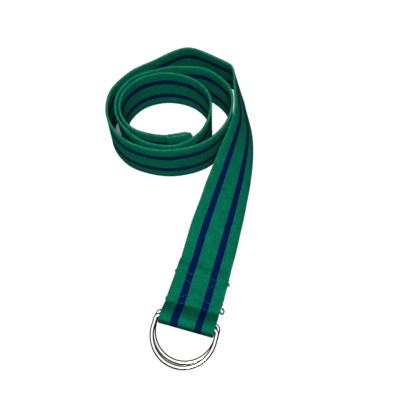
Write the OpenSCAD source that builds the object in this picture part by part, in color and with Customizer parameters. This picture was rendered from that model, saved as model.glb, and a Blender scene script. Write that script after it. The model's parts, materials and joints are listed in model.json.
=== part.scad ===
// Gait belt: woven webbing with two D-rings sewn into one end, stored as a loose coil on its
// edge, with the ring end turned flat and lying towards -Y.

/* [Webbing] */
// Width of the webbing
strap_w = 50; // [46:1:52]
// Thickness of one layer of webbing
strap_t = 2.3; // [1.8:0.1:2.5]

/* [Rings] */
// Diameter of the rings' wire
wire_d = 4; // [3.4:0.2:4]
// Free width on the bar beyond the webbing's width, both sides together
ring_play = 0.4; // [0.4:0.2:2]
// Corner radius of the wire's middle line, where the bar meets the sides
ring_corner = 3.4; // [3:0.2:4.4]
// Length of each ring's straight side, from the bar to the start of its half round
ring_side = 10.3; // [9.3:0.2:12.3]

/* [Seams] */
// Length of the loop that holds the rings, from its fold to the first row of stitches
loop_len = 22; // [22:1:26]
// Distance between the two rows that run across the webbing
box_len = 30; // [24:1:32]
// Length of the hem that is folded over at the tip
hem_len = 24; // [18:1:26]
// Length of one stitch
stitch_len = 2.6; // [2:0.2:3.2]
// Distance from one stitch to the next
stitch_pitch = 3.4; // [3.4:0.2:5]
// Thickness of the sewing thread
thread_d = 0.6; // [0.4:0.1:0.8]

/* [Hidden] */

webbing_green = [0.04, 0.50, 0.35];
thread_green = [0.10, 0.60, 0.44];
nickel = [0.78, 0.78, 0.80];
round_fn = 48;

// Middle of the coil
coil_at = [-26, 76];
// The coil's distance from that middle at every 30 degrees, clockwise seen from above, from the
// tip to the far side of its last turn
coil_step = 30;
coil_from = -60;
coil_r = [
    48.5, 41.5, 40.3, 44, 46.3, 46.6, 44, 41.2, 40.8, 43.6, 47.3, 48.8,
    52.2, 53.2, 50.8, 49, 50.4, 51.2, 49.4, 46.6, 51.6, 62.5, 68.6, 68.8,
    64.4, 58.8, 57, 58.8, 59.8, 59.6, 57.4, 62, 85.5, 92
];
// The strap's foot from the coil to the flat tail
foot_way = [
    [40, 146.5], [54, 121.5], [66, 93], [73.5, 64], [77.5, 35],
    [79.8, 5], [81, -25], [81.5, -51], [81.5, -65]
];
// How far the strap leans inwards, in degrees: on the coil's last steps, then at each foot point
coil_lean = [0, 3, 7, 10];
foot_lean = [13, 16, 25, 38, 50, 61, 72, 85, 90];

// Where each stretch of strap starts and ends, as a place in the list of route points
tip_u = 0.28;
middle_u = 12;
outer_u = 24;
bend_u = len(coil_r) - len(coil_lean);
twist_u = len(coil_r);
flat_u = twist_u + len(foot_way) - 1;

route = concat(
    [for (i = [0 : twist_u - 1]) coil_at - coil_r[i] * bearing(coil_from + coil_step * i)],
    foot_way
);
leans = concat([for (i = [1 : bend_u]) 0], coil_lean, foot_lean);

// The flat tail
tail_x = foot_way[len(foot_way) - 1][0] - strap_w / 2;
tail_end_y = foot_way[len(foot_way) - 1][1];
fold_y = -131;
first_row_y = fold_y + loop_len;
last_row_y = first_row_y + box_len;
flap_start_y = first_row_y - 3;
flap_end_y = last_row_y + 5;
low_z = strap_t / 2;
high_z = 1.5 * strap_t;

// The rings' bars, inside the loop
bar_gap = 0.4;
bar_x = strap_w / 2 + ring_play / 2;
ring_r = bar_x + ring_corner;
lower_bar = [fold_y + 10.9, strap_t + bar_gap + wire_d / 2];
upper_bar = [fold_y + 6, lower_bar[1] + wire_d + 0.25];
lower_tilt = asin((lower_bar[1] - wire_d / 2) / (ring_side + ring_r));
upper_tilt = 5;
lower_ring_x = tail_x - 0.9;
upper_ring_x = tail_x - 0.8;

// The loop of webbing around the bars: the bend where it starts to climb, the round over the upper
// bar and the round of the fold
crest_r = wire_d / 2 + bar_gap + strap_t / 2;
climb_r = 1.6;
climb = [first_row_y - 0.3, high_z + climb_r];
nose_r = 2.05;
nose = [fold_y + nose_r + strap_t / 2, nose_r + strap_t / 2];
back_angle = angle_to(climb, upper_bar) - acos(-(climb_r + crest_r) / norm(upper_bar - climb));
front_angle = angle_to(upper_bar, nose) + 360 - acos((crest_r - nose_r) / norm(nose - upper_bar));

function bearing(a) = [sin(a), cos(a)];
function angle_to(p, q) = atan2(q[1] - p[1], q[0] - p[0]);
function on_arc(c, r, a) = c + r * [cos(a), sin(a)];

// A smooth curve through four values, at t from the second to the third
function between(a, b, c, d, t) =
    0.5 * (2 * b + (c - a) * t + (2 * a - 5 * b + 4 * c - d) * t * t
        + (3 * b - a - 3 * c + d) * t * t * t);
function pick(list, i) = list[min(max(i, 0), len(list) - 1)];
function along(list, u) =
    let (i = min(floor(u), len(list) - 2))
    between(pick(list, i - 1), pick(list, i), pick(list, i + 1), pick(list, i + 2), u - i);

// Direction of travel at u, and the horizontal direction into the coil
function travel(u) =
    let (d = along(route, min(u + 0.01, flat_u)) - along(route, max(u - 0.01, 0)))
    d / norm(d);
function inward(u) = [travel(u)[1], -travel(u)[0]];

// A point of the webbing: u along it, w up from its foot edge, o out from its middle layer
function web_point(u, w, o) =
    let (a = along(leans, u), p = along(route, u) + inward(u) * (sin(a) * w - cos(a) * o))
    [p[0], p[1], cos(a) * w + sin(a) * (strap_t / 2 + o)];

// Plan outline of an upright stretch from u0 to u1, between two distances out from the middle
function upright_outline(u0, u1, o_in, o_out, steps) = concat(
    [for (i = [0 : steps]) along(route, mix(u0, u1, i / steps))
        - inward(mix(u0, u1, i / steps)) * o_in],
    [for (i = [steps : -1 : 0]) along(route, mix(u0, u1, i / steps))
        - inward(mix(u0, u1, i / steps)) * o_out]
);
function mix(a, b, t) = a + (b - a) * t;

// Outline of a ribbon of webbing along a list of points
function way_dir(way, i) =
    let (d = pick(way, i + 1) - pick(way, i - 1))
    d / norm(d);
function way_side(way, i, o) = way[i] + o * [-way_dir(way, i)[1], way_dir(way, i)[0]];
function ribbon_outline(way) = concat(
    [for (i = [0 : len(way) - 1]) way_side(way, i, strap_t / 2)],
    [for (i = [len(way) - 1 : -1 : 0]) way_side(way, i, -strap_t / 2)]
);

module upright_strap(u0, u1, o_in = -strap_t / 2, o_out = strap_t / 2) {
    steps = ceil((u1 - u0) * 4);
    linear_extrude(strap_w)
        polygon(upright_outline(u0, u1, o_in, o_out, steps));
}

// A stretch that leans or twists: a ring of four corners at every step
module leaning_strap(u0, u1) {
    steps = ceil((u1 - u0) * 5);
    corners = [
        for (i = [0 : steps])
        for (c = [[0, -1], [0, 1], [1, 1], [1, -1]])
        web_point(mix(u0, u1, i / steps), c[0] * strap_w, c[1] * strap_t / 2)
    ];
    last = 4 * steps;
    sides = [
        for (i = [0 : steps - 1])
        for (k = [0 : 3])
        for (f = [[0, 1, 4], [1, 5, 4]])
        [for (n = f) 4 * i + (n < 4 ? 0 : 4) + (k + n % 4) % 4]
    ];
    polyhedron(corners, concat(
        sides,
        [[0, 3, 2], [0, 2, 1], [last, last + 1, last + 2], [last, last + 2, last + 3]]
    ));
}

// Webbing that runs along Y across the flat tail's whole width, drawn as a profile in Y and Z
module flat_strap(way) {
    translate([tail_x - strap_w / 2, 0, 0])
        rotate([90, 0, 90])
        linear_extrude(strap_w)
        polygon(ribbon_outline(way));
}

module strap_tip_hem() {
    hem_u = tip_u + hem_len / norm(along(route, 1) - along(route, 0));
    color(webbing_green)
        upright_strap(tip_u, hem_u, strap_t / 2, 1.5 * strap_t);
}

module strap_inner_turn() {
    color(webbing_green)
        upright_strap(tip_u, middle_u);
}

module strap_middle_turn() {
    color(webbing_green)
        upright_strap(middle_u, outer_u);
}

module strap_outer_turn() {
    color(webbing_green)
        upright_strap(outer_u, bend_u);
}

module strap_far_bend() {
    color(webbing_green)
        leaning_strap(bend_u, twist_u);
}

module strap_twist() {
    color(webbing_green)
        leaning_strap(twist_u, flat_u);
}

// The last flat stretch, which climbs onto the folded-back end and is sewn to it
module strap_tail() {
    color(webbing_green)
        flat_strap([
            [tail_end_y, low_z],
            [tail_end_y - 2, low_z],
            [flap_end_y + 4, mix(low_z, high_z, 0.4)],
            [flap_end_y + 0.6, high_z],
            [flap_end_y - 3, high_z],
            [first_row_y, high_z]
        ]);
}

module strap_ring_loop() {
    color(webbing_green)
        flat_strap(concat(
            [[first_row_y, high_z]],
            [for (i = [0 : 6]) on_arc(climb, climb_r, mix(270, 180 + back_angle, i / 6))],
            [for (a = [back_angle : (front_angle - back_angle) / 12 : front_angle + 0.01])
                on_arc(upper_bar, crest_r, a)],
            [for (a = [front_angle : (270 - front_angle) / 12 : 270.01]) on_arc(nose, nose_r, a)],
            [[flap_start_y, low_z]]
        ));
}

module strap_ring_flap() {
    color(webbing_green)
        translate([tail_x - strap_w / 2, flap_start_y, 0])
        cube([strap_w, flap_end_y - flap_start_y, strap_t]);
}

// A D-ring with its bar on the X axis and its round towards -Y
module d_ring() {
    rotate([0, 90, 0])
        cylinder(h = 2 * bar_x, d = wire_d, center = true, $fn = round_fn);
    for (side = [0, 1])
        mirror([side, 0, 0]) {
            translate([bar_x, -ring_corner, 0])
                rotate_extrude(angle = 90, $fn = round_fn)
                translate([ring_corner, 0])
                circle(d = wire_d, $fn = round_fn);
            translate([ring_r, -ring_corner, 0])
                rotate([90, 0, 0])
                cylinder(h = ring_side - ring_corner, d = wire_d, $fn = round_fn);
        }
    translate([0, -ring_side, 0])
        rotate([0, 0, 180])
        rotate_extrude(angle = 180, $fn = 2 * round_fn)
        translate([ring_r, 0])
        circle(d = wire_d, $fn = round_fn);
}

module lower_d_ring() {
    color(nickel)
        translate([lower_ring_x, lower_bar[0], lower_bar[1]])
        rotate([lower_tilt, 0, 0])
        d_ring();
}

module upper_d_ring() {
    color(nickel)
        translate([upper_ring_x, upper_bar[0], upper_bar[1]])
        rotate([upper_tilt, 0, 0])
        d_ring();
}

// A row of separate stitches from p to q, half sunk in the webbing at height z
module stitch_row(p, q, z) {
    count = floor(norm(q - p) / stitch_pitch);
    for (i = [0 : count - 1])
        translate(concat(mix(p, q, (i + 0.5) / count), z))
        rotate(angle_to(p, q))
        cube([stitch_len, thread_d, thread_d], center = true);
}

// Two rows across the webbing, joined by two crossing diagonals
module box_seam(z) {
    side = strap_w / 2 - 1.5;
    corner = strap_w / 2 - 5;
    for (y = [first_row_y + 0.6, last_row_y])
        stitch_row([tail_x - side, y], [tail_x + side, y], z);
    for (s = [-1, 1])
        stitch_row(
            [tail_x - s * corner, first_row_y + 2.4],
            [tail_x + s * corner, last_row_y - 1.8],
            z
        );
}

module box_seam_needle_thread() {
    color(thread_green)
        box_seam(2 * strap_t + 0.05);
}

module box_seam_bobbin_thread() {
    color(thread_green)
        box_seam(thread_d / 2 + 0.02);
}

// Rows of stitches up the tip's hem, at o out from the middle layer
module hem_seam(o) {
    count = floor((strap_w - 4) / stitch_pitch);
    for (u = [tip_u + 0.14, tip_u + 0.82])
        for (i = [0 : count - 1])
        translate(web_point(u, 2 + (strap_w - 4) * (i + 0.5) / count, o))
        rotate(angle_to([0, 0], travel(u)))
        cube([thread_d, thread_d, stitch_len], center = true);
}

module hem_seam_needle_thread() {
    color(thread_green)
        hem_seam(1.5 * strap_t + 0.05);
}

module hem_seam_bobbin_thread() {
    color(thread_green)
        hem_seam(-strap_t / 2 - 0.05);
}

strap_tip_hem();
strap_inner_turn();
strap_middle_turn();
strap_outer_turn();
strap_far_bend();
strap_twist();
strap_tail();
strap_ring_loop();
strap_ring_flap();
lower_d_ring();
upper_d_ring();
box_seam_needle_thread();
box_seam_bobbin_thread();
hem_seam_needle_thread();
hem_seam_bobbin_thread();
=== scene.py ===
import json
import math
from collections import namedtuple

import bmesh
import bpy
from mathutils import Matrix, Vector


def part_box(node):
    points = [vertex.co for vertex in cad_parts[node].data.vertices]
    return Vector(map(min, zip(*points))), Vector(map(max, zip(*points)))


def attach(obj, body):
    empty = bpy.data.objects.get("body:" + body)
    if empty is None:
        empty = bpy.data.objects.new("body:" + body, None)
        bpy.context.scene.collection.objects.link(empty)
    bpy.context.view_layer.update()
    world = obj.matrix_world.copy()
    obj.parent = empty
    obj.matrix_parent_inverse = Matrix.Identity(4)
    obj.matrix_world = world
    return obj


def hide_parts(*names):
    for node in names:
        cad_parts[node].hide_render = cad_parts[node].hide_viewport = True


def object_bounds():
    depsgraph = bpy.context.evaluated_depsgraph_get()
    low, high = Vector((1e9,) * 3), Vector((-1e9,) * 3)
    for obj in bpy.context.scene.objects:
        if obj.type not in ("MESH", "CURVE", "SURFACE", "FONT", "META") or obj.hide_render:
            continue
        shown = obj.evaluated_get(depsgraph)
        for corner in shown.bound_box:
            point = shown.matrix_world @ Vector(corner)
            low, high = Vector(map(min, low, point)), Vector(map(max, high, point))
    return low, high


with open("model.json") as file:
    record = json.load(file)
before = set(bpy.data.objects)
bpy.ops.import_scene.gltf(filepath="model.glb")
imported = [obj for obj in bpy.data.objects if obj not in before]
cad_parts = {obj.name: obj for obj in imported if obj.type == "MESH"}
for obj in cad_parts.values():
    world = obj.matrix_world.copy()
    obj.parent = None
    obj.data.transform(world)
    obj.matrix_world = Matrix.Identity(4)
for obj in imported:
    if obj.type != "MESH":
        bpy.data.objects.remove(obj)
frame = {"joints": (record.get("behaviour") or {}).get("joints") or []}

bl_info = {
    "name": "Gait belt",
    "version": (1, 0, 0),
    "blender": (4, 5, 0),
    "location": "3D View > Sidebar > Belt",
    "description": "Builds a striped webbing belt with two D-rings, stored as a loose coil on edge",
    "category": "Add Mesh",
}

CAD_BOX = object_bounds()

STRAP_NODES = [
    "strap_tip_hem", "strap_inner_turn", "strap_middle_turn", "strap_outer_turn",
    "strap_far_bend", "strap_twist", "strap_tail", "strap_ring_loop", "strap_ring_flap",
]
FLAP_LOW, FLAP_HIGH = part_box("strap_ring_flap")
TAIL_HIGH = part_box("strap_tail")[1]
LOOP_LOW, LOOP_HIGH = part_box("strap_ring_loop")
WIDTH = FLAP_HIGH.x - FLAP_LOW.x
LAYER = FLAP_HIGH.z - FLAP_LOW.z
HINGE_AT = {j["child"]: Vector(j["pos_m"]) for j in frame["joints"]}


# ---------------------------------------------------------------- the strap's way

# Middle of the coil, and the coil's distance from it at every 30 degrees, clockwise seen from above
COIL_AT = (-0.026, 0.076)
COIL_FROM = -60
COIL_STEP = 30
COIL_RADII = [
    0.0485, 0.0415, 0.0403, 0.0440, 0.0463, 0.0466, 0.0440, 0.0412, 0.0408, 0.0436, 0.0473, 0.0488,
    0.0522, 0.0532, 0.0508, 0.0490, 0.0504, 0.0512, 0.0494, 0.0466, 0.0516, 0.0632, 0.0706, 0.0688,
    0.0644, 0.0588, 0.0570, 0.0600, 0.0620, 0.0608, 0.0574, 0.0620, 0.0855, 0.0920,
]
# The strap's foot from the coil to the flat tail
FOOT_WAY = [
    (0.0394, 0.1465), (0.0528, 0.1213), (0.0656, 0.0929), (0.0733, 0.0640), (0.0775, 0.0350),
    (0.0798, 0.0050), (0.0810, -0.0250), (0.0815, -0.0510), (0.0815, -0.0650),
]
# How far the strap leans inwards, in degrees: on the coil's last steps, then at each foot point
COIL_LEANS = [1.4, 2.5, 1.4, 0, 3, 7, 10]
FOOT_LEANS = [13, 18, 25, 38, 50, 61, 72, 85, 90]
# Where the tip's fold lies, in coil steps from the coil's first point
TIP_U = 0.28
TIP_TURN_STEPS = 14

# The sewn loop's bends, and the room it leaves round a ring's bar
CLIMB_RADIUS = 0.0016
NOSE_RADIUS = 0.00205
BAR_ROOM = 0.0008
# How far inside the loop node the climb over the bars begins
CLIMB_INSET = 0.0003
# Where the tail rises on to the flap: from the tail's start, and short of the flap's cut end
RISE_INSET = 0.0015
RISE_SHORT = 0.0004

# Seam places: the hem's from the strap's tip, the box seam's in X and Y
HEM_LENGTH = 0.024
HEM_ROWS = [0.0034, 0.0199]
ROW_NEAR_FOLD = LOOP_HIGH.y + 0.0006
ROW_NEAR_TAIL = FLAP_HIGH.y - 0.005
ROW_HALF = 0.0235
CROSS_HALF = 0.020
CROSS_NEAR_FOLD = LOOP_HIGH.y + 0.0024
CROSS_NEAR_TAIL = ROW_NEAR_TAIL - 0.0018
TAIL_X = (FLAP_LOW.x + FLAP_HIGH.x) / 2

Station = namedtuple("Station", "foot across out run part")


def spline(a, b, c, d, t):
    """A smooth curve through four values, at t from the second to the third."""
    return 0.5 * (
        2 * b
        + (c - a) * t
        + (2 * a - 5 * b + 4 * c - d) * t ** 2
        + (3 * b - a - 3 * c + d) * t ** 3
    )


def along(values, u):
    """The value at place u of a list, on a smooth curve through it."""
    i = min(int(u), len(values) - 2)
    near = [values[min(max(k, 0), len(values) - 1)] for k in range(i - 1, i + 3)]
    return spline(*near, u - i)


def coil_point(i):
    bearing = math.radians(COIL_FROM + COIL_STEP * i)
    reach = COIL_RADII[i]
    return Vector((COIL_AT[0] - reach * math.sin(bearing), COIL_AT[1] - reach * math.cos(bearing)))


ROUTE = [coil_point(i) for i in range(len(COIL_RADII))] + [Vector(p) for p in FOOT_WAY]
LEANS = [0] * (len(COIL_RADII) - len(COIL_LEANS)) + COIL_LEANS + FOOT_LEANS
FLAT_U = len(ROUTE) - 1


def route_frame(u):
    """The foot point of the middle layer at u, the directions up the width and out, and the travel."""
    small = 0.001
    ahead = along(ROUTE, min(u + small, FLAT_U)) - along(ROUTE, max(u - small, 0))
    travel = ahead.normalized().to_3d()
    inward = Vector((travel.y, -travel.x, 0))
    lean = math.radians(along(LEANS, u))
    across = inward * math.sin(lean) + Vector((0, 0, math.cos(lean)))
    out = Vector((0, 0, math.sin(lean))) - inward * math.cos(lean)
    foot = along(ROUTE, u).to_3d()
    foot.z = math.sin(lean) * LAYER / 2
    return foot, across, out, travel


def route_middle(u):
    foot, across = route_frame(u)[:2]
    return foot + across * WIDTH / 2


def route_places(u_from, u_to, spacing):
    """Places along the route that are evenly spaced on the strap's centre line."""
    small = 0.002
    sign = 1 if u_to > u_from else -1
    u = u_from
    places = []
    while (u_to - u) * sign > 0:
        places.append(u)
        speed = (route_middle(u + small) - route_middle(max(u - small, 0))).length / (2 * small)
        u += sign * spacing / speed
    return places


def smooth(t):
    t = min(max(t, 0.0), 1.0)
    return t * t * (3 - 2 * t)


def arc(centre, radius, start, end, spacing):
    """Points of an arc in the upright plane along the tail, angles in degrees, ends included."""
    steps = max(6, math.ceil(abs(math.radians(end - start)) * radius / spacing))
    angles = [math.radians(start + (end - start) * k / steps) for k in range(steps + 1)]
    return [Vector((centre.x + radius * math.cos(a), centre.y + radius * math.sin(a))) for a in angles]


def line(start, end, spacing):
    """Points from start up to, but not at, end."""
    steps = max(1, math.ceil((end - start).length / spacing))
    return [start.lerp(end, k / steps) for k in range(steps)]


def heading(p, q):
    return math.degrees(math.atan2(q.y - p.y, q.x - p.x))


def ring_end_profile(spacing):
    """The tail's middle layer in Y and Z: onto the flap, round both bars and back under itself."""
    low, high = LAYER / 2, 1.5 * LAYER
    upper = HINGE_AT["upper_ring"].yz
    crest_radius = settings_of("rings").wire / 2 + BAR_ROOM + LAYER / 2
    climb = Vector((LOOP_HIGH.y - CLIMB_INSET, high + CLIMB_RADIUS))
    nose = Vector((LOOP_LOW.y + NOSE_RADIUS + LAYER / 2, NOSE_RADIUS + LAYER / 2))
    reach = (upper - climb).length
    back = heading(climb, upper) - math.degrees(math.acos(-(CLIMB_RADIUS + crest_radius) / reach))
    reach = (nose - upper).length
    front = heading(upper, nose) + 360 - math.degrees(math.acos((crest_radius - NOSE_RADIUS) / reach))
    rise_from = TAIL_HIGH.y - RISE_INSET
    rise_to = FLAP_HIGH.y + RISE_SHORT
    ys = [p.x for p in line(Vector((TAIL_HIGH.y, 0)), Vector((rise_to, 0)), spacing)]
    points = [
        Vector((y, low + (high - low) * smooth((rise_from - y) / (rise_from - rise_to)))) for y in ys
    ]
    points += line(Vector((rise_to, high)), Vector((climb.x, high)), spacing)
    climb_arc = arc(climb, CLIMB_RADIUS, 270, 180 + back, spacing / 2)
    crest_arc = arc(upper, crest_radius, back, front, spacing)
    nose_arc = arc(nose, NOSE_RADIUS, front, 270, spacing)
    points += climb_arc[:-1] + line(climb_arc[-1], crest_arc[0], spacing)
    points += crest_arc[:-1] + line(crest_arc[-1], nose_arc[0], spacing)
    points += nose_arc[:-1]
    flap_end = Vector((FLAP_HIGH.y, low))
    points += line(nose_arc[-1], flap_end, spacing) + [flap_end]
    return points


def strap_stations(spacing):
    """Every station of the strap, from the hem's cut end to the flap's cut end."""
    places = []
    tip_step = (ROUTE[1] - ROUTE[0]).length
    fold_u = TIP_U + LAYER / tip_step
    up = Vector((0, 0, 1))
    for u in route_places(TIP_U + HEM_LENGTH / tip_step, fold_u, spacing):
        foot, across, out = route_frame(u)[:3]
        places.append((foot + out * LAYER, across, -out, "hem"))
    foot, across, out, travel = route_frame(fold_u)
    for k in range(TIP_TURN_STEPS + 1):
        a = math.pi * k / TIP_TURN_STEPS
        centre = foot + out * LAYER / 2
        place = centre + (out * math.cos(a) - travel * math.sin(a)) * LAYER / 2
        places.append((place, up, travel * math.sin(a) - out * math.cos(a), "hem"))
    for u in route_places(fold_u, FLAT_U, spacing)[1:]:
        foot, across, out = route_frame(u)[:3]
        places.append((foot, across, out, "coil"))
    profile = ring_end_profile(spacing)
    lowest = min(range(len(profile)), key=lambda k: profile[k].x)
    for k, p in enumerate(profile):
        ahead = profile[min(k + 1, len(profile) - 1)] - profile[max(k - 1, 0)]
        ahead.normalize()
        place = Vector((TAIL_HIGH.x, p.x, p.y))
        part = "top" if k < lowest else "flap"
        places.append((place, Vector((-1, 0, 0)), Vector((0, ahead.y, -ahead.x)), part))
    stations = []
    run = 0.0
    before = None
    for foot, across, out, part in places:
        middle = foot + across * WIDTH / 2
        run += (middle - before).length if before else 0.0
        before = middle
        stations.append(Station(foot, across, out, run, part))
    return stations


# ---------------------------------------------------------------- the strap's surface

def line_distance(p, a, b):
    t = min(max((p - a).dot(b - a) / (b - a).length_squared, 0), 1)
    return (p - a - (b - a) * t).length


def seam_lines():
    """The box seam's four lines in X and Y: two rows across, then two diagonals."""
    rows = [
        (Vector((TAIL_X - ROW_HALF, y)), Vector((TAIL_X + ROW_HALF, y)))
        for y in (ROW_NEAR_FOLD, ROW_NEAR_TAIL)
    ]
    diagonals = [
        (
            Vector((TAIL_X - side * CROSS_HALF, CROSS_NEAR_FOLD)),
            Vector((TAIL_X + side * CROSS_HALF, CROSS_NEAR_TAIL)),
        )
        for side in (-1, 1)
    ]
    return rows + diagonals


SEAM_LINES = seam_lines()
# How deep stitches pull the webbing in, and how far beside them that fades
SEAM_DEPTH = 0.00045
SEAM_SPREAD = 0.0010
# The sewn box has finer faces, from this far past the row near the fold to this far past the other
FINE_PAST_FOLD = 0.003
FINE_PAST_TAIL = 0.006
# How far the top layer bulges at the ends of the two rows across, and over what length
ROW_BULGE = 0.0011
ROW_BULGE_SPREAD = 0.0013
# Where the bulges lie along Y
ROW_BULGES_AT = (ROW_NEAR_FOLD + 0.0015, ROW_NEAR_TAIL)
# How far the foot edge moves out as the strap lies down into the flat tail
FLAT_SPREAD = 0.0006
# How much wider the sewn end lies on each side, at places along Y
LEFT_SPREAD = [(-0.056, 0.0), (-0.068, 0.0007), (-0.105, 0.0015), (-0.125, 0.0017)]
RIGHT_SPREAD = [
    (-0.056, 0.0006), (-0.068, 0.0008), (-0.098, 0.0010), (-0.108, -0.0001), (-0.125, -0.0002),
]
# The edges' small loops, one to each pick, and their slow wander in two waves
SELVAGE_LOOP = 0.00024
EDGE_WANDER = 0.00028
SHORT_WAVE = 0.0061
LONG_WAVE = 0.0157
# How wide the selvage is, and how much thicker at the edge where the strap stands
SELVAGE_WIDTH = 0.004
SELVAGE_SWELL = 0.16
# How far the rounded edge reaches over the width, in half thicknesses
EDGE_REACH = 0.6
# How much higher the hem's top edge stands, and the length over which it rises to that
HEM_LIFT = 0.0013
HEM_STEP = 0.0025
# The tip's rounded top corner, and how much of it there is at the foot
TIP_CORNER = 0.0078
FOOT_CORNER = 0.5


def seam_dent(x, y):
    """How far the stitches pull the webbing in at a point of the sewn box."""
    near = min(line_distance(Vector((x, y)), a, b) for a, b in SEAM_LINES)
    return SEAM_DEPTH * math.exp(-((near / SEAM_SPREAD) ** 2))


def row_end(y):
    """One where a row of stitches turns round the webbing's edge, falling to nothing beside it."""
    return max(math.exp(-(((y - row) / ROW_BULGE_SPREAD) ** 2)) for row in ROW_BULGES_AT)


def spread(y, places):
    """The extra width at y, eased between the places on the list."""
    for (near, width), (far, far_width) in zip(places, places[1:]):
        if y > far:
            return width + (far_width - width) * smooth((near - y) / (near - far))
    return places[-1][1]


def wander(run, seed):
    """A slow, small wander of an edge, from -1 to 1."""
    return 0.5 * math.sin(run / SHORT_WAVE + seed) + 0.5 * math.sin(run / LONG_WAVE + 2.3 * seed)


def in_seam(station):
    """Whether a station lies in the sewn box, where the stitches dent the webbing."""
    low, high = ROW_NEAR_FOLD - FINE_PAST_FOLD, ROW_NEAR_TAIL + FINE_PAST_TAIL
    return station.part in ("top", "flap") and low < station.foot.y < high


def section(columns, half):
    """One turn round the webbing: places over the width, outwards, and over the width along the surface."""
    edge = half * EDGE_REACH
    quarter = math.pi / 2 * half
    face = [edge + (WIDTH - 2 * edge) * k / columns for k in range(columns + 1)]
    ring = [(w, half, w) for w in face]
    for a in (45, 90, 135):
        turn = math.radians(a)
        past = quarter * min(a, 180 - a) / 90
        ring.append((WIDTH - edge + edge * math.sin(turn), half * math.cos(turn), WIDTH - edge + past))
    ring += [(w, -half, w) for w in reversed(face)]
    for a in (135, 90, 45):
        turn = math.radians(a)
        past = quarter * min(a, 180 - a) / 90
        ring.append((edge - edge * math.sin(turn), half * math.cos(turn), edge - past))
    return ring


def strap_point(station, w, o, tip_run, selvage):
    """Where the webbing's surface is, with its selvage loops, its wander and its pulled-in seams."""
    s = station.run
    to_top = smooth((w / WIDTH - 0.5) * 2)
    to_foot = smooth((0.5 - w / WIDTH) * 2)
    turn = 2 * math.pi * s / selvage
    shift = to_top * (SELVAGE_LOOP * math.cos(turn) + EDGE_WANDER * wander(s, 1.0))
    foot_shift = SELVAGE_LOOP * math.cos(turn + 2) + EDGE_WANDER * wander(s, 4.0)
    if station.part in ("top", "flap"):
        shift -= to_foot * foot_shift
        y = station.foot.y
        shift += (to_top - to_foot) * ROW_BULGE * row_end(y) * (station.part == "top")
        shift += to_top * spread(y, LEFT_SPREAD) - to_foot * spread(y, RIGHT_SPREAD)
    elif station.part == "coil":
        shift -= to_foot * (1 - station.across.z) * (foot_shift + FLAT_SPREAD)
    from_tip = abs(s - tip_run)
    if from_tip < HEM_LENGTH:
        short = max(TIP_CORNER - from_tip, 0)
        cut = TIP_CORNER - math.sqrt(TIP_CORNER ** 2 - short ** 2)
        sewn = smooth((HEM_LENGTH - from_tip) / HEM_STEP)
        shift += to_top * (HEM_LIFT * sewn - cut)
        shift += to_foot * cut * FOOT_CORNER
        if o < 0:
            near = min(abs(from_tip - row) for row in HEM_ROWS)
            o += SEAM_DEPTH * math.exp(-((near / SEAM_SPREAD) ** 2))
    near_edge = min(abs(w), abs(WIDTH - w)) / SELVAGE_WIDTH
    if station.part != "flap":
        o *= 1 + SELVAGE_SWELL * max(station.across.z, 0) * (1 - smooth(near_edge))
    if o > 0 and in_seam(station):
        o -= seam_dent(station.foot.x - w, station.foot.y)
    return station.foot + station.across * (w + shift) + station.out * o


def strap_mesh(stations, columns, fine, half, selvage):
    """The closed mesh of the strap, with its weave map and its folded map for baking."""
    tip_run = next(s.run for s in stations if s.part == "coil") - math.pi * LAYER / 4
    plain, sewn = section(columns, half), section(columns * fine, half)
    edge_points = 3
    fine_anchors = [k * fine for k in range(columns + 1)]
    side = columns * fine + 1
    fine_anchors += [side + k for k in range(edge_points)]
    fine_anchors += [side + edge_points + k * fine for k in range(columns + 1)]
    fine_anchors += [2 * side + edge_points + k for k in range(edge_points)]
    points, surface, rings = [], [], []
    total_run = stations[-1].run
    for station in stations:
        ring = sewn if in_seam(station) else plain
        start = len(points)
        for w, o, over in ring:
            points.append(strap_point(station, w, o, tip_run, selvage))
            surface.append((over / WIDTH, (total_run - station.run) / WIDTH))
        anchors = fine_anchors if ring is sewn else range(len(ring))
        rings.append((start, len(ring), [start + a for a in anchors]))
    # A face between two rings takes in every point of the finer ring between its anchors
    faces, inner = [], []
    for (start_a, count_a, anchors_a), (start_b, count_b, anchors_b) in zip(rings, rings[1:]):
        same = count_a == count_b
        if same:
            anchors_a = range(start_a, start_a + count_a)
            anchors_b = range(start_b, start_b + count_b)
        total = len(anchors_a)
        middle = (columns * fine if same and count_a == len(sewn) else columns) + 2
        for k in range(total):
            following = (k + 1) % total
            a = between(anchors_a[k], anchors_a[following], start_a, count_a)
            b = between(anchors_b[k], anchors_b[following], start_b, count_b)
            faces.append(a + b[::-1])
            inner.append(middle <= k < total - 2)
    first, last = rings[0], rings[-1]
    faces.append([first[0] + k for k in reversed(range(first[1]))])
    faces.append([last[0] + k for k in range(last[1])])
    inner += [False, False]
    mesh = bpy.data.meshes.new("webbing")
    mesh.from_pydata([tuple(p) for p in points], [], faces)
    add_maps(mesh, surface, inner, total_run / WIDTH)
    return mesh


def between(a, b, start, count):
    """The ring's points from a to b, both included, going round past the ring's end."""
    size = (b - a) % count
    return [start + (a - start + k) % count for k in range(size + 1)]


# The bake map: rows for each face of the strap, the height they fill, and the room left round a row
BAKE_ROWS = 4
BAKE_HEIGHT = 0.98
BAKE_MARGIN = 0.04
BAKE_SIDE_MARGIN = 0.01
# The strap's two cut ends lie on one line above the rows: its height, first place, step and length
CAP_HEIGHT = 0.990
CAP_FROM = 0.1
CAP_STEP = 0.4
CAP_LENGTH = 0.3


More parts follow.
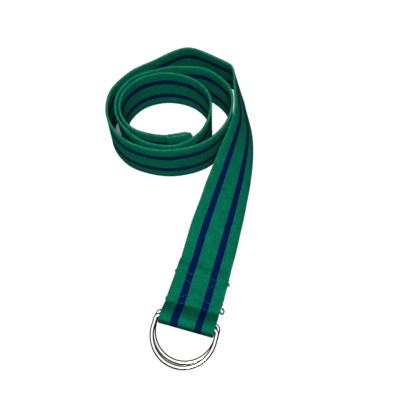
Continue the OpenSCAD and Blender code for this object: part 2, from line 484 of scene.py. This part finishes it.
def add_maps(mesh, surface, inner, length):
    """The weave's own map, and one for baking with the long strap folded into rows."""
    weave = mesh.uv_layers.new(name="Weave")
    bake = mesh.uv_layers.new(name="OFBake")
    row_length = length / BAKE_ROWS
    row_height = BAKE_HEIGHT / (2 * BAKE_ROWS)
    xs = [x for x, y in surface]
    low, span = min(xs), max(xs) - min(xs)
    caps = len(mesh.polygons) - 2
    for face in mesh.polygons:
        middle = sum(surface[v][1] for v in face.vertices) / len(face.vertices)
        row = min(int(middle / row_length), BAKE_ROWS - 1)
        floor = (2 * row + inner[face.index]) * row_height
        for corner in face.loop_indices:
            v = mesh.loops[corner].vertex_index
            x, y = surface[v]
            weave.data[corner].uv = (x, y)
            part = (x - low) / span
            if face.index >= caps:
                spot = mesh.vertices[v].co - mesh.vertices[face.vertices[0]].co
                bake.data[corner].uv = (
                    CAP_FROM + CAP_STEP * (face.index - caps) + CAP_LENGTH * part,
                    CAP_HEIGHT + spot.dot(face.normal),
                )
            else:
                here = (y - row * row_length) / row_length
                bake.data[corner].uv = (
                    BAKE_SIDE_MARGIN + (1 - 2 * BAKE_SIDE_MARGIN) * here,
                    floor + row_height * (BAKE_MARGIN + (1 - 2 * BAKE_MARGIN) * part),
                )
    weave.active_render = True
    mesh.uv_layers.active = weave


# ---------------------------------------------------------------- materials

class Socket:
    """One output socket, so that shader maths reads as an expression."""

    def __init__(self, finish, socket):
        self.finish = finish
        self.socket = socket

    def maths(self, operation, *others):
        values = {i: v for i, v in enumerate((self, *others))}
        return self.finish.node("ShaderNodeMath", {"operation": operation}, values)

    def __add__(self, other):
        return self.maths("ADD", other)

    __radd__ = __add__

    def __sub__(self, other):
        return self.maths("SUBTRACT", other)

    def __rsub__(self, other):
        return self.finish.node("ShaderNodeMath", {"operation": "SUBTRACT"}, {0: other, 1: self})

    def __mul__(self, other):
        return self.maths("MULTIPLY", other)

    __rmul__ = __mul__

    def __gt__(self, other):
        return self.maths("GREATER_THAN", other)

    def __lt__(self, other):
        return self.maths("LESS_THAN", other)

    def __pow__(self, other):
        return self.maths("POWER", other)

    def floor(self):
        return self.maths("FLOOR")

    def part(self):
        return self.maths("FRACT")

    def __getitem__(self, name):
        return Socket(self.finish, self.socket.node.outputs[name])


class Finish:
    """A material or a world, and the one way in which a node is added to it."""

    def __init__(self, owner):
        owner.use_nodes = True
        self.owner = owner
        self.nodes = owner.node_tree.nodes
        self.links = owner.node_tree.links

    def node(self, kind, settings=None, sockets=None):
        made = self.nodes.new(kind)
        for name, value in (settings or {}).items():
            setattr(made, name, value)
        for name, value in (sockets or {}).items():
            self.give(made.inputs[name], value)
        return Socket(self, next(s for s in made.outputs if s.enabled))

    def give(self, target, value):
        if isinstance(value, Socket):
            self.links.new(value.socket, target)
        else:
            target.default_value = value

    def shader(self, sockets):
        principled = self.nodes["Principled BSDF"]
        for name, value in sockets.items():
            self.give(principled.inputs[name], value)

    def mix(self, factor, a, b, blend="MIX"):
        """Mixes two colours."""
        made = self.nodes.new("ShaderNodeMix")
        made.data_type = "RGBA"
        made.blend_type = blend
        colours = [s for s in made.inputs if s.type == "RGBA"]
        self.give(made.inputs[0], factor)
        self.give(colours[0], a)
        self.give(colours[1], b)
        return Socket(self, next(s for s in made.outputs if s.type == "RGBA"))

    def grey(self, value):
        return self.node("ShaderNodeCombineColor", None, {0: value, 1: value, 2: value})

    def noise(self, place, scale, detail=3.0):
        return self.node("ShaderNodeTexNoise", None, {"Vector": place, "Scale": scale, "Detail": detail})

    def bump(self, height, strength, distance, normal=None):
        values = {"Height": height, "Strength": strength, "Distance": distance}
        if normal:
            values["Normal"] = normal
        return self.node("ShaderNodeBump", None, values)

    def object_place(self):
        return self.node("ShaderNodeTexCoord")["Object"]


def shaded(value, tones):
    """A value from 0 to 1, times the first tone plus the second."""
    gain, base = tones
    return value * gain + base


# Exponents that round a yarn, a hump and a bead on the selvage
YARN_BLUNT = 0.6
HUMP_BLUNT = 0.5
BEAD_BLUNT = 0.7
# The selvage's share of the width on each side, and how much of its own colour it takes
SELVAGE_SHARE = 0.018
SELVAGE_TINT = 0.6
# Gain and base of the webbing's brightness: painted shade in the hollows between its humps and between its
# selvage beads, and random tone over its blotches and fuzz
HUMP_PAINTED_SHADE = (0.70, 0.52)
BEAD_PAINTED_SHADE = (0.60, 0.55)
MOTTLE_TONES = (0.60, 0.70)
FUZZ_TONES = (1.10, 0.45)
WEBBING_ROUGHNESS = (0.12, 0.84)
MOTTLE_SCALE = 140.0
FUZZ_SCALE = 620.0
FIBRE_SCALE = 4200.0
# How much fuzz makes a worn spot on the selvage, and how strong the spot is
WORN_FROM = 0.58
WORN_DEPTH = 0.35
# Strength and height of the relief of humps and of fibres
HUMP_RELIEF = (0.9, 0.00030)
FIBRE_RELIEF = (0.35, 0.00006)
CLOTH_SPECULAR = 0.02
# The fold and the slope above it are painted darker, because light alone leaves them too pale:
# distance from the flap's cut end, reach and depth
DARKENED = [(0.0600, 0.0058, 0.70), (0.0812, 0.0078, 0.36)]


def webbing_finish(look, size):
    """Warp-faced webbing: yarns along the strap, each showing as short humps, in green and navy."""
    finish = Finish(bpy.data.materials.new("woven_webbing"))
    weave = finish.node("ShaderNodeUVMap", {"uv_map": "Weave"})
    axes = finish.node("ShaderNodeSeparateXYZ", None, {0: weave})
    x, y = axes["X"], axes["Y"]
    yarn = (x * size.yarns).floor()
    side = (x * size.yarns).part()
    odd = (yarn * 0.5).part() * 2
    step = y * (WIDTH / size.pick) + odd * 0.5
    rise = step.part()
    hump = (side * (1 - side) * 4) ** YARN_BLUNT * ((rise * (1 - rise) * 4) ** HUMP_BLUNT)
    centre = (yarn + 0.5) * (1 / size.yarns)
    stripe = (centre > size.stripe_from) * (centre < size.stripe_to)
    stripe += (centre > 1 - size.stripe_to) * (centre < 1 - size.stripe_from)
    selvage = (x < SELVAGE_SHARE) + (x > 1 - SELVAGE_SHARE)
    bead = shaded((rise * (1 - rise) * 4) ** BEAD_BLUNT, BEAD_PAINTED_SHADE)
    from_end = y * WIDTH
    place = finish.object_place()
    mottle = finish.noise(place, MOTTLE_SCALE)
    fuzz = finish.noise(place, FUZZ_SCALE, 2.0)
    fibre = finish.noise(place, FIBRE_SCALE, 2.0)
    colour = finish.mix(stripe, (*look.green, 1), (*look.navy, 1))
    colour = finish.mix(selvage * SELVAGE_TINT, colour, (*look.selvage, 1))
    # Painted shade in the weave's hollows, between humps and between selvage beads, times blotches and fuzz
    # of random tone
    light = shaded(hump, HUMP_PAINTED_SHADE) * shaded(mottle, MOTTLE_TONES) * shaded(fuzz, FUZZ_TONES)
    light *= selvage * bead + (1 - selvage)
    for middle, reach, depth in DARKENED:
        near = ((from_end - middle) * (1 / reach)) ** 2
        light *= 1 - (1 - near).maths("MAXIMUM", 0.0) * depth
    colour = finish.mix(1.0, colour, finish.grey(light), "MULTIPLY")
    worn = selvage * (fuzz > WORN_FROM) * WORN_DEPTH
    colour = finish.mix(worn, colour, (*look.worn, 1))
    relief = finish.bump(hump, *HUMP_RELIEF)
    relief = finish.bump(fibre, *FIBRE_RELIEF, relief)
    finish.shader({
        "Base Color": colour,
        "Roughness": shaded(fuzz, WEBBING_ROUGHNESS),
        "Normal": relief,
        "Sheen Weight": 0.05,
        "Sheen Roughness": 0.5,
        "Sheen Tint": (*look.worn, 1),
        "Specular IOR Level": CLOTH_SPECULAR,
    })
    return finish.owner


# Noise scales of the thread's strands and shade, its brightness and roughness, and its relief
STRAND_SCALE = 2600.0
SHADE_SCALE = 240.0
STRAND_TONES = (0.5, 0.75)
THREAD_ROUGHNESS = (0.15, 0.75)
STRAND_RELIEF = (0.5, 0.00008)


def thread_finish(look):
    """Spun polyester thread, varying from a little darker to a little paler than the webbing."""
    finish = Finish(bpy.data.materials.new("sewing_thread"))
    place = finish.object_place()
    strand = finish.noise(place, STRAND_SCALE, 2.0)
    shade = finish.noise(place, SHADE_SCALE)
    colour = finish.mix(shade, (*look.thread, 1), (*look.thread_pale, 1))
    colour = finish.mix(1.0, colour, finish.grey(shaded(strand, STRAND_TONES)), "MULTIPLY")
    finish.shader({
        "Base Color": colour,
        "Roughness": shaded(strand, THREAD_ROUGHNESS),
        "Normal": finish.bump(strand, *STRAND_RELIEF),
        "Specular IOR Level": CLOTH_SPECULAR,
    })
    return finish.owner


# Noise scales of the nickel's duller patches and fine marks
PATCH_SCALE = 70.0
MARK_SCALE = 1500.0
# The plate's roughness, what a patch and a mark add to it, and how much noise makes a mark
NICKEL_ROUGHNESS = 0.03
PATCH_ROUGHNESS = 0.06
MARK_ROUGHNESS = 0.06
MARK_FROM = 0.62
MARK_RELIEF = (0.10, 0.00002)


def nickel_finish(look):
    """Polished nickel plate with fine handling marks and slightly duller patches."""
    finish = Finish(bpy.data.materials.new("polished_nickel"))
    place = finish.object_place()
    patch = finish.noise(place, PATCH_SCALE)
    marks = finish.noise(place, MARK_SCALE, 4.0)
    marked = (marks > MARK_FROM) * MARK_ROUGHNESS
    colour = finish.mix(patch, (*look.nickel, 1), (*look.nickel_warm, 1))
    finish.shader({
        "Base Color": colour,
        "Metallic": 1.0,
        "Roughness": patch * PATCH_ROUGHNESS + marked + NICKEL_ROUGHNESS,
        "Normal": finish.bump(marks, *MARK_RELIEF),
    })
    return finish.owner


# ---------------------------------------------------------------- bench work

def only(obj):
    """Selects one object and makes it active, with everything else let go."""
    bpy.ops.object.select_all(action="DESELECT")
    obj.select_set(True)
    bpy.context.view_layer.objects.active = obj


def take_new(name):
    obj = bpy.context.view_layer.objects.active
    obj.name = name
    obj.data.name = name
    return obj


def bake_place(obj):
    """Moves the object's place into its mesh, so that the object sits at the origin."""
    only(obj)
    bpy.ops.object.transform_apply(location=True, rotation=True, scale=True)


def face_outwards(obj, merge=0.000001):
    only(obj)
    bpy.ops.object.mode_set(mode="EDIT")
    bpy.ops.mesh.select_all(action="SELECT")
    bpy.ops.mesh.remove_doubles(threshold=merge)
    bpy.ops.mesh.normals_make_consistent(inside=False)
    bpy.ops.object.mode_set(mode="OBJECT")


def finish_piece(obj, material, body, nodes):
    obj.data.materials.clear()
    obj.data.materials.append(material)
    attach(obj, body)
    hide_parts(*nodes)


def material_named(name):
    made = bpy.data.materials.get(name)
    if made is None:
        raise RuntimeError(f"the material {name} hasn't been made yet")
    return made


def settings_of(group):
    return getattr(bpy.context.scene, "belt_" + group)


def bend_wire(name, moves, radius, sides):
    """A wire made as by hand: a round end, then straight runs and bends, in order."""
    bpy.ops.object.select_all(action="DESELECT")
    bpy.ops.mesh.primitive_circle_add(
        vertices=sides, radius=radius, location=(0, 0, 0), rotation=(0, math.pi / 2, 0)
    )
    wire = take_new(name)
    bpy.ops.object.transform_apply(location=True, rotation=True, scale=True)
    bpy.ops.object.mode_set(mode="EDIT")
    bpy.ops.mesh.select_all(action="SELECT")
    for kind, *values in moves:
        if kind == "run":
            bpy.ops.mesh.extrude_region_move(TRANSFORM_OT_translate={"value": values[0]})
        else:
            centre, axis, angle, steps = values
            bpy.ops.mesh.spin(steps=steps, angle=math.radians(angle), center=centre, axis=axis)
    bpy.ops.object.mode_set(mode="OBJECT")
    return wire


# ---------------------------------------------------------------- settings

class BeltWebbing(bpy.types.PropertyGroup):
    half: bpy.props.FloatProperty(
        name="Half thickness", description="Half of one layer's thickness, a little under the room it has",
        default=LAYER / 2 - 0.00005, unit="LENGTH", precision=5)
    spacing: bpy.props.FloatProperty(
        name="Spacing", description="Distance between two cross-sections of the strap",
        default=0.0004, unit="LENGTH", precision=5)
    columns: bpy.props.IntProperty(
        name="Columns", description="Faces across the width on plain stretches", default=8, min=4)
    fine: bpy.props.IntProperty(
        name="Finer at the seam", description="How many times more faces across the sewn box",
        default=4, min=1)
    pick: bpy.props.FloatProperty(
        name="Pick", description="Length of one yarn's hump, with the gap that follows it",
        default=0.0024, unit="LENGTH", precision=5)
    yarns: bpy.props.IntProperty(
        name="Yarns", description="Yarns side by side across the webbing", default=46, min=10)
    stripe_from: bpy.props.FloatProperty(
        name="Stripe from", description="Where the first stripe starts, as a share of the width",
        default=0.22, subtype="FACTOR")
    stripe_to: bpy.props.FloatProperty(
        name="Stripe to", description="Where the first stripe ends, as a share of the width",
        default=0.35, subtype="FACTOR")


class BeltRings(bpy.types.PropertyGroup):
    wire: bpy.props.FloatProperty(
        name="Wire", description="Diameter of the rings' wire", default=0.004, unit="LENGTH", precision=5)
    corner: bpy.props.FloatProperty(
        name="Corner", description="Bend radius where the bar meets the sides",
        default=0.0034, unit="LENGTH", precision=5)
    side: bpy.props.FloatProperty(
        name="Side", description="Distance from the bar to the start of the half round",
        default=0.0103, unit="LENGTH", precision=5)
    sides: bpy.props.IntProperty(name="Sides", description="Faces round the wire", default=28, min=12)


class BeltStitches(bpy.types.PropertyGroup):
    length: bpy.props.FloatProperty(
        name="Length", description="Length of one stitch", default=0.0029, unit="LENGTH", precision=5)
    pitch: bpy.props.FloatProperty(
        name="Pitch", description="Distance from one stitch to the next",
        default=0.0034, unit="LENGTH", precision=5)
    thickness: bpy.props.FloatProperty(
        name="Thickness", description="Thickness of the thread", default=0.0006, unit="LENGTH", precision=5)


def colour_property(name, description, default):
    return bpy.props.FloatVectorProperty(
        name=name, description=description, default=default, subtype="COLOR", min=0, max=1)


class BeltLook(bpy.types.PropertyGroup):
    green: colour_property("Green", "The webbing's ground colour", (0.0010, 0.132, 0.070))
    navy: colour_property("Navy", "The two stripes", (0.0012, 0.0085, 0.066))
    selvage: colour_property("Selvage", "The woven edges", (0.003, 0.190, 0.110))
    worn: colour_property("Worn", "Rubbed spots on the edges", (0.05, 0.30, 0.21))
    thread: colour_property("Thread", "The sewing thread", (0.001, 0.105, 0.056))
    thread_pale: colour_property("Pale thread", "Paler stretches of the thread", (0.006, 0.150, 0.100))
    nickel: colour_property("Nickel", "The rings' plate", (0.78, 0.76, 0.73))
    nickel_warm: colour_property("Warm nickel", "Duller patches of the plate", (0.70, 0.67, 0.62))


SETTING_GROUPS = {
    "webbing": BeltWebbing, "rings": BeltRings, "stitches": BeltStitches, "look": BeltLook,
}


# ---------------------------------------------------------------- operators

class BELT_OT_materials(bpy.types.Operator):
    """Makes the webbing, thread and nickel finishes"""
    bl_idname = "belt.materials"
    bl_label = "Make the materials"

    def execute(self, context):
        look = settings_of("look")
        webbing_finish(look, settings_of("webbing"))
        thread_finish(look)
        nickel_finish(look)
        return {"FINISHED"}


class BELT_OT_webbing(bpy.types.Operator):
    """Lays the whole strap as one band, from the hem's cut end to the flap's cut end"""
    bl_idname = "belt.webbing"
    bl_label = "Lay the webbing"

    def execute(self, context):
        size = settings_of("webbing")
        stations = strap_stations(size.spacing)
        mesh = strap_mesh(stations, size.columns, size.fine, size.half, size.pick)
        strap = bpy.data.objects.new("webbing", mesh)
        context.scene.collection.objects.link(strap)
        cloth = bmesh.new()
        cloth.from_mesh(mesh)
        bmesh.ops.recalc_face_normals(cloth, faces=cloth.faces)
        open_edges = sum(1 for e in cloth.edges if len(e.link_faces) != 2)
        cloth.to_mesh(mesh)
        cloth.free()
        if open_edges:
            raise RuntimeError(f"the webbing has {open_edges} open edges")
        only(strap)
        bpy.ops.object.shade_smooth_by_angle(angle=math.radians(50))
        finish_piece(strap, material_named("woven_webbing"), "strap", STRAP_NODES)
        round(stations[-1].run, 4)
        return {"FINISHED"}


CORNER_STEPS = 10
ROUND_STEPS = 64
# The weld: half its length, how much it swells, and how far from the bar's line its points may lie
WELD_REACH = 0.0016
WELD_SWELL = 0.05
BAR_ZONE = 0.0025
# How far a ring may be off its CAD node's box
RING_TOLERANCE = 0.0003


def ring_moves(size, half_width):
    """Bar, corner, side, half round, side, corner and bar, each from where the last one ended."""
    bar = half_width - size.corner
    straight = size.side - size.corner
    z = (0, 0, 1)
    return [
        ("run", (bar, 0, 0)),
        ("bend", (bar, -size.corner, 0), z, 90, CORNER_STEPS),
        ("run", (0, -straight, 0)),
        ("bend", (0, -size.side, 0), z, 180, ROUND_STEPS),
        ("run", (0, straight, 0)),
        ("bend", (-bar, -size.corner, 0), z, 90, CORNER_STEPS),
        ("run", (bar, 0, 0)),
    ]


def swell_weld(ring, reach, swell):
    """Raises a low weld bead round the middle of the bar."""
    only(ring)
    bpy.ops.object.mode_set(mode="EDIT")
    mesh = bmesh.from_edit_mesh(ring.data)
    for offset in (-reach, -reach / 2, reach / 2, reach):
        bmesh.ops.bisect_plane(
            mesh, geom=mesh.verts[:] + mesh.edges[:] + mesh.faces[:],
            plane_co=(offset, 0, 0), plane_no=(1, 0, 0))
    bar = [v for v in mesh.verts if v.co.y > -BAR_ZONE and abs(v.co.x) < reach * 0.6]
    for v in bar:
        v.co.y *= 1 + swell
        v.co.z *= 1 + swell
    bmesh.update_edit_mesh(ring.data)
    bpy.ops.object.mode_set(mode="OBJECT")


class BELT_OT_rings(bpy.types.Operator):
    """Bends both D-rings from round wire and hangs each on its own bar line"""
    bl_idname = "belt.rings"
    bl_label = "Bend the rings"

    def execute(self, context):
        size = settings_of("rings")
        for body, node in (("lower_ring", "lower_d_ring"), ("upper_ring", "upper_d_ring")):
            low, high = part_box(node)
            half_width = (high.x - low.x) / 2 - size.wire / 2
            ring = bend_wire(body + "_wire", ring_moves(size, half_width), size.wire / 2, size.sides)
            face_outwards(ring)
            swell_weld(ring, WELD_REACH, WELD_SWELL)
            hinge = HINGE_AT[body]
            reach = size.side + half_width
            tilt = math.asin((hinge.z - low.z - size.wire / 2) / reach)
            ring.rotation_euler = (tilt, 0, 0)
            ring.location = ((low.x + high.x) / 2, hinge.y, hinge.z)
            bake_place(ring)
            bpy.ops.object.shade_smooth()
            corners = [v.co for v in ring.data.vertices]
            for axis in range(3):
                off = max(
                    abs(min(c[axis] for c in corners) - low[axis]),
                    abs(max(c[axis] for c in corners) - high[axis]),
                )
                if off > RING_TOLERANCE:
                    raise RuntimeError(f"{ring.name} is {off * 1000:.2f} mm off its frame on axis {axis}")
            finish_piece(ring, material_named("polished_nickel"), body, [node])
        return {"FINISHED"}


# Where a stitch bends down: share of its length from the middle, and by how much
STITCH_DIPS = [(0.24, 0.00014), (0.34, 0.00016), (0.46, 0.00016)]
# How far a stitch's middle lies above the bottom of its dent, in thread thicknesses
STITCH_RISE = 0.25
# Room between the hem's rows and the webbing's edges
HEM_ROW_MARGIN = 0.002
# Threads pulled out at the right ends of the rows: name, place past the edge, along Y and up,
# radius, thickness in threads, and turn
ROW_END_LOOPS = [
    ("row_end_loop", (0.0020, ROW_NEAR_FOLD + 0.0024, 0.0048),
     0.0018, 2.6, (0.15, -0.15, math.radians(95))),
    ("row_end_knot", (0.0010, ROW_NEAR_TAIL - 0.0012, 0.0040),
     0.0012, 2.2, (0.2, 0.5, math.radians(60))),
]
LOOP_SIDES = 8
LOOP_STEPS = 26
LOOP_TURN = 300
LOOP_STRETCH = (1.25, 0.9, 1.0)


def stitch_model(size):
    """One stitch: a grain of thread along X whose two ends dip into the webbing."""
    bpy.ops.object.select_all(action="DESELECT")
    bpy.ops.mesh.primitive_uv_sphere_add(
        segments=6, ring_count=7, radius=0.5, location=(0, 0, 0), rotation=(0, math.pi / 2, 0))
    stitch = take_new("stitch_model")
    bpy.ops.object.transform_apply(location=True, rotation=True, scale=True)
    stitch.scale = (size.length, size.thickness, size.thickness)
    bpy.ops.object.transform_apply(location=False, rotation=False, scale=True)
    bpy.ops.object.mode_set(mode="EDIT")
    for reach, dip in STITCH_DIPS:
        bpy.ops.mesh.select_all(action="DESELECT")
        mesh = bmesh.from_edit_mesh(stitch.data)
        for v in mesh.verts:
            v.select = abs(v.co.x) > reach * size.length
        mesh.select_flush(True)
        bmesh.update_edit_mesh(stitch.data)
        bpy.ops.transform.translate(value=(0, 0, -dip))
    bpy.ops.object.mode_set(mode="OBJECT")
    bpy.ops.object.shade_smooth()
    return stitch


def sew(name, model, places):
    """Copies the model to every (place, direction, outward) and joins the copies into one piece."""
    copies = []
    for place, direction, outward in places:
        one = model.copy()
        one.data = model.data.copy()
        bpy.context.scene.collection.objects.link(one)
        turn = Matrix((direction, outward.cross(direction), outward)).transposed()
        one.matrix_world = Matrix.Translation(place) @ turn.to_4x4()
        copies.append(one)
    bpy.ops.object.select_all(action="DESELECT")
    for one in copies:
        one.select_set(True)
    bpy.context.view_layer.objects.active = copies[0]
    bpy.ops.object.join()
    seam = take_new(name)
    bake_place(seam)
    return seam


def row_places(start, end, pitch, height, outward):
    """Stitches from start to end in X and Y, at a height."""
    count = int((end - start).length / pitch)
    direction = (end - start).normalized().to_3d()
    return [
        (start.lerp(end, (k + 0.5) / count).to_3d() + Vector((0, 0, height)), direction, outward)
        for k in range(count)
    ]


def hem_places(pitch, out_by, outward_sign):
    """Stitches up the two rows of the hem."""
    places = []
    sewn = WIDTH - 2 * HEM_ROW_MARGIN
    tip_step = (ROUTE[1] - ROUTE[0]).length
    count = int(sewn / pitch)
    for row in HEM_ROWS:
        foot, across, out = route_frame(TIP_U + row / tip_step)[:3]
        for k in range(count):
            up = across * (HEM_ROW_MARGIN + sewn * (k + 0.5) / count)
            places.append((foot + up + out * out_by, across, out * outward_sign))
    return places


def loose_loop(name, place, radius, thread, turn):
    """A loop of thread that has pulled out at a row's end."""
    bpy.ops.object.select_all(action="DESELECT")
    bpy.ops.mesh.primitive_circle_add(
        vertices=LOOP_SIDES, radius=thread / 2, location=(0, radius, 0), rotation=(0, math.pi / 2, 0))
    loop = take_new(name)
    bpy.ops.object.transform_apply(location=True, rotation=True, scale=True)
    bpy.ops.object.mode_set(mode="EDIT")
    bpy.ops.mesh.select_all(action="SELECT")
    bpy.ops.mesh.edge_face_add()
    bpy.ops.mesh.spin(
        steps=LOOP_STEPS, angle=-math.radians(LOOP_TURN), center=(0, 0, 0), axis=(0, 0, 1))
    bpy.ops.object.mode_set(mode="OBJECT")
    face_outwards(loop)
    bpy.ops.object.shade_smooth()
    loop.rotation_euler = turn
    loop.scale = LOOP_STRETCH
    loop.location = place
    bake_place(loop)
    return loop


class BELT_OT_stitches(bpy.types.Operator):
    """Sews the box seam that holds the rings and the hem at the tip"""
    bl_idname = "belt.stitches"
    bl_label = "Sew the seams"

    def execute(self, context):
        size = settings_of("stitches")
        half = settings_of("webbing").half
        sunk = SEAM_DEPTH - size.thickness * STITCH_RISE
        up, down = Vector((0, 0, 1)), Vector((0, 0, -1))
        top = 1.5 * LAYER + half - sunk
        under = LAYER / 2 - half + size.thickness / 2
        model = stitch_model(size)
        needle, bobbin = [], []
        for start, end in SEAM_LINES:
            needle += row_places(start, end, size.pitch, top, up)
            bobbin += row_places(start, end, size.pitch, under, down)
        seams = {
            "box_seam_needle_thread": ("box_seam_needle_stitches", needle),
            "box_seam_bobbin_thread": ("box_seam_bobbin_stitches", bobbin),
            "hem_seam_needle_thread": (
                "hem_needle_stitches", hem_places(size.pitch, LAYER + half - sunk, 1)),
            "hem_seam_bobbin_thread": (
                "hem_bobbin_stitches", hem_places(size.pitch, sunk - half, -1)),
        }
        for node, (name, places) in seams.items():
            seam = sew(name, model, places)
            if node == "box_seam_needle_thread":
                right = TAIL_X + WIDTH / 2
                loops = [
                    loose_loop(loop, (right + past, y, z), radius, size.thickness * threads, turn)
                    for loop, (past, y, z), radius, threads, turn in ROW_END_LOOPS
                ]
                bpy.ops.object.select_all(action="DESELECT")
                for part in [seam] + loops:
                    part.select_set(True)
                bpy.context.view_layer.objects.active = seam
                bpy.ops.object.join()
            finish_piece(seam, material_named("sewing_thread"), "strap", [node])
        bpy.data.objects.remove(model)
        return {"FINISHED"}


FLOOR_SIZE = 8
# How far the floor lies below what stands on it
FLOOR_DROP = 0.0002
# The floor's colour in bounced light, in reflections and to the camera
FLOOR_BOUNCED = (0.26, 0.24, 0.215, 1)
FLOOR_MIRRORED = (0.012, 0.010, 0.009, 1)
FLOOR_SEEN = (0.10, 0.10, 0.10, 1)
# Its white glow to the camera, which fades in gaps as painted shade: how far round it looks, and how open
# it must be
FLOOR_GLOW = 0.97
GAP_REACH = 0.035
GAP_OPENNESS = (0.13, 0.29)
GAP_SAMPLES = 16
# How bright the sky is at the horizon, then for each kind of ray the height where it starts to
# brighten, the height where it is brightest, and how bright that is
SKY_DIM = 0.02
SKY_SOFT = (0.36, 0.82, 0.61)
SKY_MIRRORED = (0.55, 0.90, 1.6)
LAMP_AT = (0.20, -0.50, 1.00)
LAMP_AIM = (0.02, 0.0, 0.0)
LAMP_SIZE = 0.4
LAMP_POWER = 12.6
CAMERA_AT = (0.1054, -0.2153, 0.4421)
# The camera's turn, tilt and roll in degrees
CAMERA_ANGLES = (18.7166, 27.4, -3.3)
CAMERA_LENS = 43.2
SENSOR_WIDTH = 36
CLIP_START = 0.01


class BELT_OT_stage(bpy.types.Operator):
    """Sets the pale floor, the soft light from above and the camera"""
    bl_idname = "belt.stage"
    bl_label = "Set the stage"

    def execute(self, context):
        scene = context.scene
        scene.view_settings.view_transform = "Standard"
        self.floor()
        self.sky(scene)
        self.key_light(scene)
        self.camera(scene)
        return {"FINISHED"}

    def floor(self):
        """White to the camera in the open, darker in gaps as painted shade, and darker in reflections and
        in bounced light.
        """
        bpy.ops.object.select_all(action="DESELECT")
        bpy.ops.mesh.primitive_plane_add(size=FLOOR_SIZE, location=(0, 0, CAD_BOX[0].z - FLOOR_DROP))
        floor = take_new("floor")
        bake_place(floor)
        finish = Finish(bpy.data.materials.new("pale_floor"))
        path = finish.node("ShaderNodeLightPath")
        bounced = finish.mix(path["Is Glossy Ray"], FLOOR_BOUNCED, FLOOR_MIRRORED)
        colour = finish.mix(path["Is Camera Ray"], bounced, FLOOR_SEEN)
        # The glow fades where the floor is shut in, which paints shade into the gaps
        openness = finish.node(
            "ShaderNodeAmbientOcclusion", {"samples": GAP_SAMPLES}, {"Distance": GAP_REACH})["AO"]
        shut, wide = GAP_OPENNESS
        glow = finish.node("ShaderNodeMapRange", {"interpolation_type": "SMOOTHSTEP"}, {
            "Value": openness, "From Min": shut, "From Max": wide, "To Min": 0.0, "To Max": 1.0})
        finish.shader({
            "Base Color": colour,
            "Roughness": 0.9,
            "Specular IOR Level": 0.0,
            "Emission Color": finish.grey(path["Is Camera Ray"] * glow),
            "Emission Strength": FLOOR_GLOW,
        })
        floor.data.materials.append(finish.owner)

    def sky(self, scene):
        """Bright overhead and dim at the horizon, more sharply in reflections, and white to the camera."""
        world = bpy.data.worlds.new("studio")
        scene.world = world
        finish = Finish(world)
        place = finish.node("ShaderNodeTexCoord")["Generated"]
        height = finish.node("ShaderNodeSeparateXYZ", None, {0: place})["Z"]
        soft, sharp = (
            finish.node("ShaderNodeMapRange", {"interpolation_type": "SMOOTHSTEP"}, {
                "Value": height, "From Min": dark, "From Max": bright, "To Min": SKY_DIM, "To Max": most})
            for dark, bright, most in (SKY_SOFT, SKY_MIRRORED)
        )
        path = finish.node("ShaderNodeLightPath")
        seen, mirrored = path["Is Camera Ray"], path["Is Glossy Ray"]
        strength = (sharp * mirrored + soft * (1 - mirrored)) * (1 - seen) + seen
        background = finish.nodes["Background"]
        background.inputs["Color"].default_value = (1, 1, 1, 1)
        finish.give(background.inputs["Strength"], strength)

    def key_light(self, scene):
        lamp = bpy.data.lights.new("soft_box", "AREA")
        lamp.shape = "RECTANGLE"
        lamp.size, lamp.size_y = LAMP_SIZE, LAMP_SIZE
        lamp.energy = LAMP_POWER
        soft_box = bpy.data.objects.new("soft_box", lamp)
        soft_box.location = LAMP_AT
        aim = Vector(LAMP_AIM) - soft_box.location
        soft_box.rotation_euler = aim.to_track_quat("-Z", "Y").to_euler()
        scene.collection.objects.link(soft_box)

    def camera(self, scene):
        data = bpy.data.cameras.new("camera")
        data.sensor_width = SENSOR_WIDTH
        data.lens = CAMERA_LENS
        data.clip_start = CLIP_START
        camera = bpy.data.objects.new("camera", data)
        camera.location = CAMERA_AT
        turn, tilt, roll = (math.radians(a) for a in CAMERA_ANGLES)
        camera.rotation_euler = (
            Matrix.Rotation(turn, 3, "Z") @ Matrix.Rotation(tilt, 3, "X") @ Matrix.Rotation(roll, 3, "Z")
        ).to_euler()
        scene.collection.objects.link(camera)
        scene.camera = camera


class BELT_PT_panel(bpy.types.Panel):
    bl_label = "Gait belt"
    bl_idname = "BELT_PT_panel"
    bl_space_type = "VIEW_3D"
    bl_region_type = "UI"
    bl_category = "Belt"

    def draw(self, context):
        for group in SETTING_GROUPS:
            values = settings_of(group)
            box = self.layout.box()
            box.label(text=group.capitalize())
            for name in values.bl_rna.properties.keys():
                if name not in ("rna_type", "name"):
                    box.prop(values, name)
        for step in STEPS:
            self.layout.operator(step.bl_idname)


STEPS = [BELT_OT_stage, BELT_OT_materials, BELT_OT_webbing, BELT_OT_rings, BELT_OT_stitches]


def register():
    for kind in [*SETTING_GROUPS.values(), *STEPS, BELT_PT_panel]:
        bpy.utils.register_class(kind)
    for name, kind in SETTING_GROUPS.items():
        setattr(bpy.types.Scene, "belt_" + name, bpy.props.PointerProperty(type=kind))


def unregister():
    for name in SETTING_GROUPS:
        delattr(bpy.types.Scene, "belt_" + name)
    for kind in [BELT_PT_panel, *reversed(STEPS), *reversed(SETTING_GROUPS.values())]:
        bpy.utils.unregister_class(kind)


def main():
    register()
    bpy.ops.belt.stage()
    bpy.ops.belt.materials()
    bpy.ops.belt.webbing()
    bpy.ops.belt.rings()
    bpy.ops.belt.stitches()


if __name__ == "__main__":
    main()
